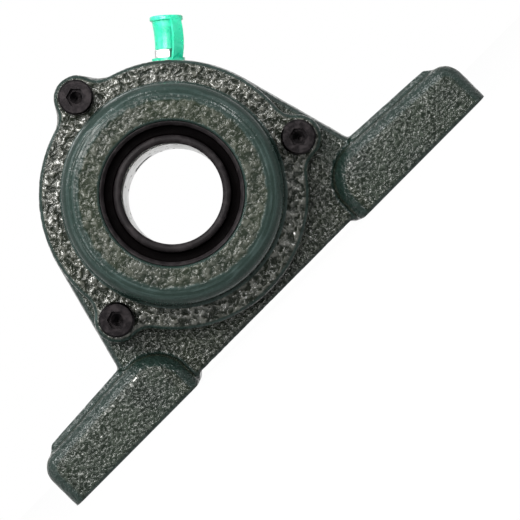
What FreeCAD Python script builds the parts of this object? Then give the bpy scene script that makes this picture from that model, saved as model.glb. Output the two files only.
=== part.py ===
import FreeCAD, Part
import Sketcher
import math
import os
import re

from FreeCAD import Placement, Rotation, Vector

# Pillow block bearing unit with bolted cast covers, for a 25 mm shaft.
# The origin is the middle of the ball row on the bore axis. X runs along the feet, Y along the
# shaft and Z up. The front of the unit faces -Y.

doc = FreeCAD.newDocument("PillowBlock")
sheet = doc.addObject("Spreadsheet::Sheet", "Sizes")

# Every driving dimension, in millimetres and degrees. Each name holds an underscore.
SIZES = dict(
    # Base and feet
    centre_height=36.5,
    base_length=140.0,
    foot_width=38.0,
    foot_inner_reach=27.5,
    foot_inner_rise=5.5,
    foot_inner_run=9.5,
    foot_end_height=13.2,
    foot_slope=3.3,
    foot_corner_radius=5.0,
    foot_edge_radius=4.2,
    bolt_spacing=105.0,
    slot_length=16.0,
    slot_width=13.0,
    bolt_pad_rise=1.5,
    bolt_pad_width=29.0,
    bolt_pad_margin=5.0,
    bolt_pad_end_gap=4.4,
    bolt_pad_end_run=1.6,
    relief_height=1.8,
    relief_half_length=26.5,
    relief_end_run=2.5,
    base_stock=3.0,
    # Head of the casting
    head_radius=33.8,
    head_width=26.0,
    draft_angle=4.0,
    flank_angle=15.0,
    head_edge_radius=1.6,
    lug_circle_radius=33.0,
    side_lug_drop=20.5,
    head_lug_radius=6.6,
    head_lug_root_radius=8.0,
    # Spherical seat for the insert bearing
    insert_radius=26.0,
    seat_clearance=0.08,
    seat_half_width=9.5,
    spigot_radius=27.4,
    spigot_clearance=0.1,
    slot_clearance=0.2,
    # Cast covers
    flange_thickness=6.5,
    flange_radius=32.9,
    flange_edge_radius=1.2,
    flange_draft=3.0,
    cover_lug_radius=5.9,
    cover_lug_root_radius=5.0,
    cover_reach=35.0,
    dome_radius=26.4,
    dome_shoulder_radius=3.8,
    dome_root_radius=1.5,
    cover_hole_radius=17.2,
    cover_hole_edge=0.4,
    cover_front_wall=6.5,
    cover_cavity_radius=22.6,
    seal_stop_width=1.3,
    seal_stop_thickness=1.0,
    spigot_length=2.7,
    # Shaft seals in the covers
    seal_recess=0.5,
    seal_fit_clearance=0.02,
    seal_case_wall=1.3,
    seal_web_thickness=1.2,
    seal_groove_width=1.6,
    seal_lip_step=0.8,
    seal_lip_clearance=0.05,
    lip_notch_depth=0.5,
    # Cover screws
    screw_radius=2.5,
    screw_clearance=0.05,
    screw_length=14.0,
    screw_head_radius=4.25,
    screw_head_height=5.0,
    screw_head_chamfer=0.45,
    screw_socket_flats=4.0,
    screw_socket_depth=2.6,
    screw_drill_radius=1.5,
    screw_tip_chamfer=0.4,
    tapped_depth=10.0,
    # Insert bearing
    shaft_radius=12.5,
    ring_width=17.0,
    inner_long_end=19.8,
    inner_short_end=14.3,
    inner_ring_radius=17.0,
    outer_shoulder_radius=22.0,
    pitch_radius=19.5,
    ball_radius=3.969,
    ball_count=9,
    ball_play=0.03,
    race_radius=4.1,
    ring_chamfer=0.5,
    lube_hole_radius=0.8,
    lube_hole_offset=4.6,
    grease_groove_depth=0.7,
    # Cage
    cage_sheet=0.7,
    cage_band_width=3.0,
    pocket_clearance=0.12,
    rivet_radius=0.6,
    rivet_head_radius=1.1,
    rivet_head_height=0.4,
    rivet_clearance=0.02,
    # Seals and slingers of the insert
    rim_radius=22.7,
    rim_depth=2.7,
    rim_seal_thickness=1.2,
    rim_lip_gap=0.15,
    rim_lip_rise=0.5,
    slinger_radius=21.8,
    slinger_offset=7.9,
    slinger_sheet=0.6,
    slinger_collar=2.0,
    # Set screws
    set_screw_radius=3.0,
    set_screw_length=4.1,
    set_screw_inset=5.3,
    set_screw_sink=0.1,
    set_screw_socket_depth=2.0,
    set_screw_flats=3.0,
    set_screw_angle=120.0,
    # Grease nipple and its cap
    nipple_angle=48.0,
    nipple_spot_depth=0.4,
    nipple_spot_radius=4.6,
    nipple_thread_radius=3.0,
    nipple_end_gap=2.4,
    nipple_drill_rest=0.6,
    nipple_bore_radius=0.9,
    nipple_hex_flats=6.2,
    nipple_hex_height=2.2,
    nipple_hex_bevel=30.0,
    nipple_neck_radius=1.9,
    nipple_neck_rise=0.9,
    nipple_nose_length=1.6,
    nipple_head_radius=2.7,
    nipple_height=8.6,
    nipple_mouth_radius=0.6,
    nipple_mouth_depth=0.35,
    nipple_feed_radius=0.45,
    check_ball_radius=0.8,
    check_ball_play=0.03,
    check_spring_wire=0.14,
    check_spring_length=2.2,
    check_spring_turns=4,
    grease_hole_radius=1.5,
    cap_ring_radius=4.1,
    cap_ring_thickness=0.8,
    cap_height=11.3,
    cap_rim_radius=4.1,
    cap_rim_thickness=1.3,
    cap_rim_rounding=0.4,
    cap_top_radius=3.6,
    cap_foot_radius=3.15,
    cap_waist_radius=35.0,
    cap_wall=0.4,
    strap_width=3.0,
    strap_thickness=0.75,
    strap_bulge=0.9,
    strap_angle=38.0,
)

for row, (alias, size) in enumerate(SIZES.items(), start=1):
    sheet.set(f"A{row}", alias)
    sheet.set(f"B{row}", str(size))
    sheet.setAlias(f"B{row}", alias)
doc.recompute()


def named(expression):
    """Put the sheet's name before each size in an expression."""
    return re.sub(r"[a-z]+_[a-z_]+", r"Sizes.\g<0>", expression)


def value(expression):
    """The number that an expression of sizes gives."""
    return float(sheet.evalExpression(named(expression)))


def bind(feature, **expressions):
    """Tie properties of a feature to expressions of sizes."""
    for name, expression in expressions.items():
        feature.setExpression(name, named(expression))


# Places of the two faces. Inside a body that is turned to a face, Z points out of the housing.
FRONT = Placement(Vector(), Rotation(Vector(1, 0, 0), 90))
REAR = Placement(Vector(), Rotation(Vector(0, 0, 1), 180) * FRONT.Rotation)
REAR_FLIPPED = Placement(Vector(), Rotation(Vector(1, 0, 0), -90))

# Directions of the three lugs round the bore, in degrees from X
LUG_ANGLES = ("-side_lug_drop", "90", "180 + side_lug_drop")


def new_body(name, place=Placement()):
    """An empty body, turned to its place."""
    body = doc.addObject("PartDesign::Body", name)
    body.Label = name
    body.Placement = place
    return body


def new_sketch(body, name, plane, offset=None):
    """A sketch on one of the body's own origin planes."""
    sketch = body.newObject("Sketcher::SketchObject", f"{body.Name}_{name}")
    plane_object = next(f for f in body.Origin.OriginFeatures if f.Role == plane + "_Plane")
    sketch.AttachmentSupport = (plane_object, [""])
    sketch.MapMode = "FlatFace"
    if offset:
        sketch.setExpression("AttachmentOffset.Base.z", named(offset))
    return sketch


def constrain(sketch, kind, *where, size=None):
    """Add a constraint, tied to an expression of sizes where it has a size."""
    if size is None:
        sketch.addConstraint(Sketcher.Constraint(kind, *where))
        return
    index = sketch.addConstraint(Sketcher.Constraint(kind, *where, value(size)))
    sketch.setExpression(f"Constraints[{index}]", named(size))


def fix_point(sketch, edge, end, across, up):
    """Tie the end of an edge to its coordinates in the sketch."""
    if across == "0":
        constrain(sketch, "PointOnObject", edge, end, -2)
    else:
        constrain(sketch, "DistanceX", edge, end, size=across)
    if up == "0":
        constrain(sketch, "PointOnObject", edge, end, -1)
    else:
        constrain(sketch, "DistanceY", edge, end, size=up)


def arc_between(start, finish, radius, turn):
    """The shorter arc from start to finish that turns left (1) or right (-1)."""
    chord = finish - start
    middle = (start + finish) * 0.5
    rise = math.sqrt(max(radius ** 2 - (chord.Length / 2) ** 2, 0.0))
    normal = Vector(-chord.y, chord.x, 0).normalize()
    centre = middle + normal * (turn * rise)
    angles = [math.atan2(p.y - centre.y, p.x - centre.x) for p in (start, finish)]
    if turn < 0:
        angles.reverse()
    if angles[1] < angles[0]:
        angles[1] += 2 * math.pi
    return Part.ArcOfCircle(Part.Circle(centre, Vector(0, 0, 1), radius), *angles)


def draw_outline(sketch, corners):
    """A closed outline through the corners. A corner is (across, up), and one that holds a radius
    and a turn as well starts an arc to the next corner."""
    first = sketch.GeometryCount
    points = [Vector(value(corner[0]), value(corner[1]), 0) for corner in corners]
    ends = []
    for n, corner in enumerate(corners):
        following = points[(n + 1) % len(points)]
        if len(corner) == 2:
            sketch.addGeometry(Part.LineSegment(points[n], following))
            ends.append((1, 2))
        else:
            radius, turn = corner[2:]
            sketch.addGeometry(arc_between(points[n], following, value(radius), turn))
            ends.append((1, 2) if turn > 0 else (2, 1))
    for n, corner in enumerate(corners):
        after = (n + 1) % len(corners)
        constrain(sketch, "Coincident", first + n, ends[n][1], first + after, ends[after][0])
        fix_point(sketch, first + n, ends[n][0], corner[0], corner[1])
        if len(corner) > 2:
            constrain(sketch, "Radius", first + n, size=corner[2])


def draw_circle(sketch, across, up, radius):
    """A circle tied to its centre and radius."""
    edge = sketch.GeometryCount
    centre = Vector(value(across), value(up), 0)
    sketch.addGeometry(Part.Circle(centre, Vector(0, 0, 1), value(radius)))
    fix_point(sketch, edge, 3, across, up)
    constrain(sketch, "Radius", edge, size=radius)


def draw_slot(sketch, middle, length, width):
    """A slot with round ends, lying across, tied to its middle, length and width."""
    first = sketch.GeometryCount
    radius = value(f"{width} / 2")
    centres = [f"{middle} + {sign}({length} - {width}) / 2" for sign in ("", "-")]
    right, left = (Vector(value(centre), 0, 0) for centre in centres)
    up = Vector(0, radius, 0)
    sketch.addGeometry([
        Part.ArcOfCircle(Part.Circle(right, Vector(0, 0, 1), radius), -math.pi / 2, math.pi / 2),
        Part.LineSegment(right + up, left + up),
        Part.ArcOfCircle(Part.Circle(left, Vector(0, 0, 1), radius), math.pi / 2, 3 * math.pi / 2),
        Part.LineSegment(left - up, right - up),
    ])
    for edge, centre in ((first, centres[0]), (first + 2, centres[1])):
        fix_point(sketch, edge, 3, centre, "0")
        constrain(sketch, "Radius", edge, size=f"{width} / 2")
    for edge, after in ((0, 1), (1, 2), (2, 3), (3, 0)):
        constrain(sketch, "Tangent", first + edge, 2, first + after, 1)


def draw_axis(sketch, foot, head):
    """A construction line to turn a profile about."""
    edge = sketch.GeometryCount
    ends = [Vector(value(point[0]), value(point[1]), 0) for point in (foot, head)]
    sketch.addGeometry(Part.LineSegment(*ends), True)
    fix_point(sketch, edge, 1, *foot)
    fix_point(sketch, edge, 2, *head)


def draw_hexagon(sketch, flats, turn=15):
    """A regular hexagon about the sketch's origin, with its width across flats."""
    corner = f"{flats} / sqrt(3)"
    turns = range(turn, turn + 360, 60)
    draw_outline(sketch, [(f"{corner} * cos({a})", f"{corner} * sin({a})") for a in turns])


def pad(body, sketch, length, symmetric=False, taper=None):
    """Pad a sketch along its plane's normal, or half to each side."""
    feature = body.newObject("PartDesign::Pad", sketch.Name + "_pad")
    feature.Profile = sketch
    feature.SideType = "Symmetric" if symmetric else "One side"
    bind(feature, Length=length)
    if taper:
        bind(feature, TaperAngle=f"-{taper}")
    return feature


def pocket(body, sketch, length=None, reverse=False):
    """Pocket a sketch to a depth, or through everything on both sides, and check that it cut."""
    before = body.Tip
    feature = body.newObject("PartDesign::Pocket", sketch.Name + "_pocket")
    feature.Profile = sketch
    if length:
        feature.Reversed = reverse
        bind(feature, Length=length)
    else:
        feature.Type = "ThroughAll"
        feature.SideType = "Symmetric"
    doc.recompute()
    must_shrink(before, feature)
    return feature


def revolve(body, sketch, axis="V_Axis"):
    """Turn a profile into a solid about an axis of its sketch."""
    feature = body.newObject("PartDesign::Revolution", sketch.Name + "_turned")
    feature.Profile = sketch
    feature.ReferenceAxis = (sketch, [axis])
    return feature


def groove(body, sketch, axis="V_Axis"):
    """Turn a profile out of the solid and check that it cut."""
    before = body.Tip
    feature = body.newObject("PartDesign::Groove", sketch.Name + "_groove")
    feature.Profile = sketch
    feature.ReferenceAxis = (sketch, [axis])
    doc.recompute()
    must_shrink(before, feature)
    return feature


def must_shrink(before, after):
    """Stop where a cut took nothing away."""
    if after.Shape.Volume >= before.Shape.Volume:
        raise ValueError(after.Name + " cuts nothing")


def around(body, features, count, angle="360", axis="Z"):
    """Repeat features round one of the body's origin axes."""
    pattern = body.newObject("PartDesign::PolarPattern", features[0].Name + "_round")
    pattern.Originals = features
    axis_object = next(f for f in body.Origin.OriginFeatures if f.Role == axis + "_Axis")
    pattern.Axis = (axis_object, [""])
    bind(pattern, Occurrences=count, Angle=angle)
    body.Tip = pattern
    return pattern


def round_edges(body, name, radius, chosen):
    """Fillet the edges of the body's tip for which the test holds."""
    doc.recompute()
    tip = body.Tip
    edges = [f"Edge{n}" for n, edge in enumerate(tip.Shape.Edges, start=1) if chosen(edge)]
    fillet = body.newObject("PartDesign::Fillet", f"{body.Name}_{name}")
    fillet.Base = (tip, edges)
    bind(fillet, Radius=radius)
    return fillet


def lies_at(edge, direction, distance):
    """Whether an edge lies in the plane at a distance along X, Y or Z."""
    box = edge.BoundBox
    low = getattr(box, direction + "Min")
    high = getattr(box, direction + "Max")
    return abs(low - distance) < 0.01 and abs(high - distance) < 0.01


def lug_arcs(angle, radius, lug_radius, root_radius):
    """The root, tip and root arcs that put a round lug on a circle at an angle, and the angle
    that each root takes up on the circle."""
    reach = value("lug_circle_radius")
    tip = value(lug_radius)
    root = value(root_radius)
    rise = value(radius) + root
    spread = math.degrees(math.acos((rise ** 2 + reach ** 2 - (tip + root) ** 2) / (2 * rise * reach)))
    here = value(angle)
    centre = polar(reach, here)
    before = polar(rise, here - spread)
    after = polar(rise, here + spread)
    arcs = [
        ("root", root_radius, before, heading(before, centre), here - spread + 180, angle),
        ("lug", lug_radius, centre, heading(centre, before), heading(centre, after), angle),
        ("root", root_radius, after, here + spread + 180, heading(after, centre), angle),
    ]
    return arcs, spread


def draw_chain(sketch, pieces):
    """A closed chain of arcs and lines, each tangent to the next. Arcs of the ring are centred on
    the bore and arcs of the lugs on their screws, and a root arc finds its own place."""
    first = sketch.GeometryCount
    ends = []
    for piece in pieces:
        if piece[0] == "line":
            sketch.addGeometry(Part.LineSegment(piece[1], piece[2]))
            ends.append((1, 2))
            continue
        kind, size, centre, start, finish = piece[:5]
        while finish < start:
            finish += 360
        circle = Part.Circle(centre, Vector(0, 0, 1), value(size))
        sketch.addGeometry(Part.ArcOfCircle(circle, math.radians(start), math.radians(finish)))
        ends.append((2, 1) if kind == "root" else (1, 2))
    for n, piece in enumerate(pieces):
        edge = first + n
        after = (n + 1) % len(pieces)
        if piece[0] == "ring":
            constrain(sketch, "Coincident", edge, 3, -1, 1)
        if piece[0] == "lug":
            across = "0" if piece[5] == "90" else f"lug_circle_radius * cos({piece[5]})"
            fix_point(sketch, edge, 3, across, f"lug_circle_radius * sin({piece[5]})")
        if piece[0] != "line":
            constrain(sketch, "Radius", edge, size=piece[1])
        both_lines = piece[0] == "line" and pieces[after][0] == "line"
        meeting = "Coincident" if both_lines else "Tangent"
        constrain(sketch, meeting, edge, ends[n][1], first + after, ends[after][0])


def draw_lugged_circle(sketch, radius, lugs, lug_radius, root_radius):
    """A circle with a round lug blended in at each angle."""
    pieces = []
    for n, angle in enumerate(lugs):
        arcs, spread = lug_arcs(angle, radius, lug_radius, root_radius)
        start = value(angle) + spread
        finish = value(lugs[(n + 1) % len(lugs)]) - spread
        pieces += arcs
        pieces.append(("ring", radius, Vector(), start, finish, angle))
    draw_chain(sketch, pieces)


def polar(radius, degrees):
    """A point of the plane from its radius and angle."""
    angle = math.radians(degrees)
    return Vector(radius * math.cos(angle), radius * math.sin(angle), 0)


def heading(start, finish):
    """The angle from one point to another, in degrees."""
    return math.degrees(math.atan2(finish.y - start.y, finish.x - start.x))


def copies(label, master, places):
    """One node that holds separate solids, a copy of the master at each place."""
    group = doc.addObject("Part::Feature", label)
    group.Label = label
    doc.recompute()
    solids = []
    for place in places:
        solid = master.Shape.copy()
        solid.Placement = place * solid.Placement
        solids.append(solid)
    group.Shape = Part.makeCompound(solids)
    return group


FACE = "(head_width / 2)"
FLANGE_FRONT = "(head_width / 2 + flange_thickness)"
FOOT_END = "(base_length / 2)"
SEAT_RADIUS = "(insert_radius + seat_clearance)"
NIPPLE_SEAT = "(head_radius - nipple_spot_depth)"
NIPPLE_THREAD = f"({NIPPLE_SEAT} - insert_radius - nipple_end_gap)"


def foot_top(across):
    """Height of the sloping top of a foot, at a distance along X."""
    return f"(foot_end_height + ({FOOT_END} - {across}) * tan(foot_slope) - centre_height)"


def draw_head_outline(sketch):
    """The head's circle with its top lug, and the two straight flanks that touch it."""
    ring = value("head_radius")
    flank = value("flank_angle")
    low = -value("centre_height + base_stock")
    arcs, spread = lug_arcs("90", "head_radius", "head_lug_radius", "head_lug_root_radius")
    top = polar(ring, flank)
    foot = Vector(top.x + (top.y - low) * math.tan(math.radians(flank)), low, 0)
    left_top = Vector(-top.x, top.y, 0)
    left_foot = Vector(-foot.x, low, 0)
    right_line = 0
    left_line = 6
    draw_chain(sketch, [
        ("line", foot, top),
        ("ring", "head_radius", Vector(), flank, 90 - spread),
        *arcs,
        ("ring", "head_radius", Vector(), 90 + spread, 180 - flank),
        ("line", left_top, left_foot),
        ("line", left_foot, foot),
    ])
    constrain(sketch, "DistanceX", right_line, 2, size="head_radius * cos(flank_angle)")
    constrain(sketch, "DistanceY", right_line, 1, size="-(centre_height + base_stock)")
    constrain(sketch, "DistanceX", left_line, 1, size="-head_radius * cos(flank_angle)")
    constrain(sketch, "DistanceY", left_line, 2, size="-(centre_height + base_stock)")


def add_foot(body, name, sign):
    """One foot block and the raised pad round its bolt slot, at one end of the base."""
    low = "-(centre_height + base_stock)"
    bend = "(foot_inner_reach + foot_inner_run)"
    rise = f"({foot_top(bend)} + centre_height - foot_inner_rise)"
    rounding = f"((foot_inner_run^2 + {rise}^2) / (2 * foot_inner_run))"
    turn = -1 if sign else 1
    block = new_sketch(body, name, "XZ")
    draw_outline(block, [
        (f"{sign}foot_inner_reach", low),
        (f"{sign}{FOOT_END}", low),
        (f"{sign}{FOOT_END}", "foot_end_height - centre_height"),
        (f"{sign}{bend}", foot_top(bend), rounding, turn),
        (f"{sign}foot_inner_reach", "foot_inner_rise - centre_height"),
    ])
    pad(body, block, "foot_width", symmetric=True)

    near = "(bolt_spacing / 2 - slot_length / 2 - bolt_pad_margin)"
    far = f"({FOOT_END} - bolt_pad_end_gap)"
    edge = f"({FOOT_END} - bolt_pad_end_gap - bolt_pad_end_run)"
    raised = new_sketch(body, name + "_pad", "XZ")
    draw_outline(raised, [
        (f"{sign}{near}", "foot_inner_rise - centre_height"),
        (f"{sign}{far}", "foot_inner_rise - centre_height"),
        (f"{sign}{far}", foot_top(far)),
        (f"{sign}{edge}", foot_top(edge) + " + bolt_pad_rise"),
        (f"{sign}{near}", foot_top(near) + " + bolt_pad_rise"),
    ])
    return raised


def make_housing():
    """The iron casting: head, flanks, two feet, spherical seat and every machined hole."""
    body = new_body("housing")
    head = new_sketch(body, "head", "XZ")
    draw_head_outline(head)
    pad(body, head, "head_width", symmetric=True, taper="draft_angle")
    doc.recompute()
    half = value(FACE)
    stock = -value("centre_height + base_stock")

    def on_head_face(edge):
        return abs(abs(edge.BoundBox.Center.y) - half) < 0.01 and edge.BoundBox.ZMax > stock + 1

    round_edges(body, "head_edges", "head_edge_radius", on_head_face)

    raised = [add_foot(body, "foot_right", ""), add_foot(body, "foot_left", "-")]
    doc.recompute()
    end = value(FOOT_END)
    side = value("foot_width / 2")

    def at_foot_end(edge):
        box = edge.BoundBox
        return abs(abs(box.Center.x) - end) < 0.01 and box.YLength > side and box.ZMin > stock + 1

    def on_foot_side(edge):
        box = edge.BoundBox
        return abs(abs(box.Center.y) - side) < 0.01 and box.YLength < 0.01 and box.ZMax > stock + 1

    round_edges(body, "foot_corners", "foot_corner_radius", at_foot_end)
    round_edges(body, "foot_edges", "foot_edge_radius", on_foot_side)
    for sketch in raised:
        pad(body, sketch, "bolt_pad_width", symmetric=True)

    base = new_sketch(body, "base", "XZ")
    over = f"({FOOT_END} + base_stock)"
    relief_foot = "(relief_half_length + relief_end_run)"
    rounding = "((relief_end_run^2 + relief_height^2) / (2 * relief_height))"
    draw_outline(base, [
        (f"-{over}", "-(centre_height + 2 * base_stock)"),
        (over, "-(centre_height + 2 * base_stock)"),
        (over, "-centre_height"),
        (relief_foot, "-centre_height", rounding, -1),
        ("relief_half_length", "relief_height - centre_height"),
        ("-relief_half_length", "relief_height - centre_height", rounding, -1),
        (f"-{relief_foot}", "-centre_height"),
        (f"-{over}", "-centre_height"),
    ])
    pocket(body, base)

    slots = new_sketch(body, "slots", "XY")
    for sign in ("", "-"):
        draw_slot(slots, f"{sign}(bolt_spacing / 2)", "slot_length", "slot_width")
    pocket(body, slots)

    add_seat(body)
    add_tapped_holes(body)
    add_grease_hole(body)
    return body


def add_seat(body):
    """The spherical seat, a recess for each cover's spigot, the grease groove, and the two slots
    through which the insert is put in edgewise at the rear."""
    recess = "(spigot_radius + spigot_clearance)"
    mouth = f"sqrt({SEAT_RADIUS}^2 - seat_half_width^2)"
    over = "(head_width / 2 + base_stock)"
    seat = new_sketch(body, "seat", "YZ")
    draw_outline(seat, [
        (f"-{over}", "0"),
        (over, "0"),
        (over, recess),
        ("seat_half_width", recess),
        ("seat_half_width", mouth, SEAT_RADIUS, 1),
        ("-seat_half_width", mouth),
        ("-seat_half_width", recess),
        (f"-{over}", recess),
    ])
    groove(body, seat, "H_Axis")

    channel = new_sketch(body, "grease_channel", "YZ")
    shore = "(lube_hole_offset + 2 * lube_hole_radius)"
    inside = f"({SEAT_RADIUS} - 2 * grease_groove_depth)"
    draw_outline(channel, [
        (f"-{shore}", inside),
        ("grease_hole_radius", inside),
        ("grease_hole_radius", f"{SEAT_RADIUS} + grease_groove_depth"),
        (f"-{shore}", f"{SEAT_RADIUS} + grease_groove_depth"),
    ])
    groove(body, channel, "H_Axis")

    loading = new_sketch(body, "loading", "XZ")
    high = "(ring_width / 2 + slot_clearance)"
    draw_outline(loading, [
        (f"-{SEAT_RADIUS}", f"-{high}"),
        (SEAT_RADIUS, f"-{high}"),
        (SEAT_RADIUS, high),
        (f"-{SEAT_RADIUS}", high),
    ])
    pocket(body, loading, FACE)


def lug_place(angle, out, facing):
    """The place on a lug's screw axis, at a distance out along the face's axis."""
    centre = polar(value("lug_circle_radius"), value(angle))
    return facing * Placement(Vector(centre.x, centre.y, value(out)), Rotation())


def draw_screw_holes(sketch):
    """A clear hole on each lug."""
    for angle in LUG_ANGLES:
        across = "0" if angle == "90" else f"lug_circle_radius * cos({angle})"
        draw_circle(sketch, across, f"lug_circle_radius * sin({angle})", "screw_radius + screw_clearance")


def add_tapped_holes(body):
    """Three blind tapped holes for the cover screws in each face of the head."""
    front = new_sketch(body, "holes_front", "XZ", offset=FACE)
    draw_screw_holes(front)
    pocket(body, front, "tapped_depth")
    rear = new_sketch(body, "holes_rear", "XZ", offset=f"-{FACE}")
    draw_screw_holes(rear)
    pocket(body, rear, "tapped_depth", reverse=True)


def add_grease_hole(body):
    """A flat spot and a tapped hole for the grease nipple, drilled on into the seat."""

    def along(radial, sideways):
        return (f"({radial}) * cos(nipple_angle) - ({sideways}) * sin(nipple_angle)",
                f"({radial}) * sin(nipple_angle) + ({sideways}) * cos(nipple_angle)")

    low = "insert_radius - base_stock"
    high = f"{NIPPLE_SEAT} + base_stock"
    bottom = f"{NIPPLE_SEAT} - {NIPPLE_THREAD} - nipple_drill_rest"
    thread = "nipple_thread_radius + screw_clearance"
    hole = new_sketch(body, "grease_hole", "XZ")
    draw_outline(hole, [
        along(low, "0"),
        along(high, "0"),
        along(high, "nipple_spot_radius"),
        along(NIPPLE_SEAT, "nipple_spot_radius"),
        along(NIPPLE_SEAT, thread),
        along(bottom, thread),
        along(bottom, "grease_hole_radius"),
        along(low, "grease_hole_radius"),
    ])
    draw_axis(hole, along(low, "0"), along(high, "0"))
    groove(body, hole, "Axis0")


def make_cover(label, facing):
    """A cast dust cover: three-lugged flange, domed nose, spigot and bore for the shaft seal."""
    body = new_body(label, facing)
    flange = new_sketch(body, "flange", "XY", offset=FACE)
    draw_lugged_circle(flange, "flange_radius", LUG_ANGLES, "cover_lug_radius", "cover_lug_root_radius")
    pad(body, flange, "flange_thickness", taper="flange_draft")
    doc.recompute()
    front = value(FLANGE_FRONT)
    round_edges(body, "flange_edges", "flange_edge_radius", lambda edge: lies_at(edge, "Z", front))

    root = "(dome_radius + dome_root_radius)"
    back = f"({FACE} - spigot_length)"
    dome = new_sketch(body, "dome", "XZ")
    draw_outline(dome, [
        ("0", back),
        ("spigot_radius", back),
        ("spigot_radius", FACE),
        (root, FACE),
        (root, FLANGE_FRONT, "dome_root_radius", -1),
        ("dome_radius", f"{FLANGE_FRONT} + dome_root_radius"),
        ("dome_radius", "cover_reach - dome_shoulder_radius", "dome_shoulder_radius", 1),
        ("dome_radius - dome_shoulder_radius", "cover_reach"),
        ("0", "cover_reach"),
    ])
    revolve(body, dome)

    inner = "(cover_reach - cover_front_wall)"
    step = "(cover_reach - cover_front_wall + seal_stop_thickness)"
    stop = "(cover_hole_radius - seal_stop_width)"
    cavity = new_sketch(body, "cavity", "XZ")
    draw_outline(cavity, [
        ("0", f"{back} - base_stock"),
        ("cover_cavity_radius", f"{back} - base_stock"),
        ("cover_cavity_radius", inner),
        (stop, inner),
        (stop, step),
        ("cover_hole_radius", step),
        ("cover_hole_radius", "cover_reach - cover_hole_edge"),
        ("cover_hole_radius + cover_hole_edge", "cover_reach"),
        ("cover_hole_radius + cover_hole_edge", "cover_reach + base_stock"),
        ("0", "cover_reach + base_stock"),
    ])
    groove(body, cavity)

    holes = new_sketch(body, "holes", "XY", offset=FLANGE_FRONT)
    draw_screw_holes(holes)
    pocket(body, holes, "flange_thickness")
    return body


def make_cover_seal(label, facing):
    """A moulded rubber shaft seal: outer case, web and lip, open to the outside."""
    body = new_body(label, facing)
    back = "(cover_reach - cover_front_wall + seal_stop_thickness)"
    front = "(cover_reach - seal_recess)"
    lip_front = f"({front} - seal_lip_step)"
    outside = "(cover_hole_radius - seal_fit_clearance)"
    case = f"({outside} - seal_case_wall)"
    lip_outside = f"({case} - seal_groove_width)"
    lip = "(shaft_radius + seal_lip_clearance)"
    notch = f"(({lip_outside} + {lip}) / 2)"
    web = f"({back} + seal_web_thickness)"
    profile = new_sketch(body, "profile", "XZ")
    draw_outline(profile, [
        (f"{lip} + lip_notch_depth", back),
        (outside, back),
        (outside, front),
        (case, front),
        (case, web),
        (lip_outside, web),
        (lip_outside, lip_front),
        (f"{notch} + lip_notch_depth / 2", lip_front),
        (notch, f"{lip_front} - lip_notch_depth"),
        (f"{notch} - lip_notch_depth / 2", lip_front),
        (f"{lip} + lip_notch_depth / 2", lip_front),
        (lip, f"{lip_front} - lip_notch_depth"),
        (lip, f"{lip_front} - 2 * lip_notch_depth"),
    ])
    revolve(body, profile)
    return body


def make_cap_screw():
    """A socket head cap screw along Z, with its head seated at zero."""
    body = new_body("cap_screw")
    profile = new_sketch(body, "profile", "XZ")
    draw_outline(profile, [
        ("0", "-screw_length"),
        ("screw_radius - screw_tip_chamfer", "-screw_length"),
        ("screw_radius", "screw_tip_chamfer - screw_length"),
        ("screw_radius", "0"),
        ("screw_head_radius", "0"),
        ("screw_head_radius", "screw_head_height - screw_head_chamfer"),
        ("screw_head_radius - screw_head_chamfer", "screw_head_height"),
        ("0", "screw_head_height"),
    ])
    revolve(body, profile)
    add_hex_socket(body, "screw_socket_flats", "screw_head_height", "screw_socket_depth")
    drill = new_sketch(body, "drill", "XZ")
    floor = "(screw_head_height - screw_socket_depth)"
    draw_outline(drill, [
        ("0", f"{floor} - screw_drill_radius / 2"),
        ("screw_drill_radius", floor),
        ("0", floor),
    ])
    groove(body, drill)
    return body


def add_hex_socket(body, flats, top, depth):
    """A hexagon socket sunk from the top of a screw."""
    socket = new_sketch(body, "socket", "XY", offset=top)
    draw_hexagon(socket, flats)
    pocket(body, socket, depth)


def make_outer_ring():
    """The insert's outer ring: spherical outside, ball race and a seal rim at each side."""
    body = new_body("outer_ring", FRONT)
    side = "(ring_width / 2)"
    edge = f"sqrt(insert_radius^2 - {side}^2)"
    rim = f"({side} - rim_depth)"
    track = f"sqrt(race_radius^2 - (outer_shoulder_radius - {OUTER_RACE_CENTRE})^2)"
    profile = new_sketch(body, "profile", "XZ")
    draw_outline(profile, [
        ("rim_radius", f"-{side}"),
        (edge, f"-{side}", "insert_radius", 1),
        (edge, side),
        ("rim_radius", side),
        ("rim_radius", rim),
        ("outer_shoulder_radius", rim),
        ("outer_shoulder_radius", track, "race_radius", -1),
        ("outer_shoulder_radius", f"-{track}"),
        ("outer_shoulder_radius", f"-{rim}"),
        ("rim_radius", f"-{rim}"),
    ])
    revolve(body, profile)
    lube = new_sketch(body, "lube", "XZ")
    draw_circle(lube, "0", "lube_hole_offset", "lube_hole_radius")
    pocket(body, lube, "insert_radius")
    return body


OUTER_RACE_CENTRE = "(pitch_radius + ball_radius + ball_play - race_radius)"
INNER_RACE_CENTRE = "(pitch_radius - ball_radius - ball_play + race_radius)"


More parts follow.
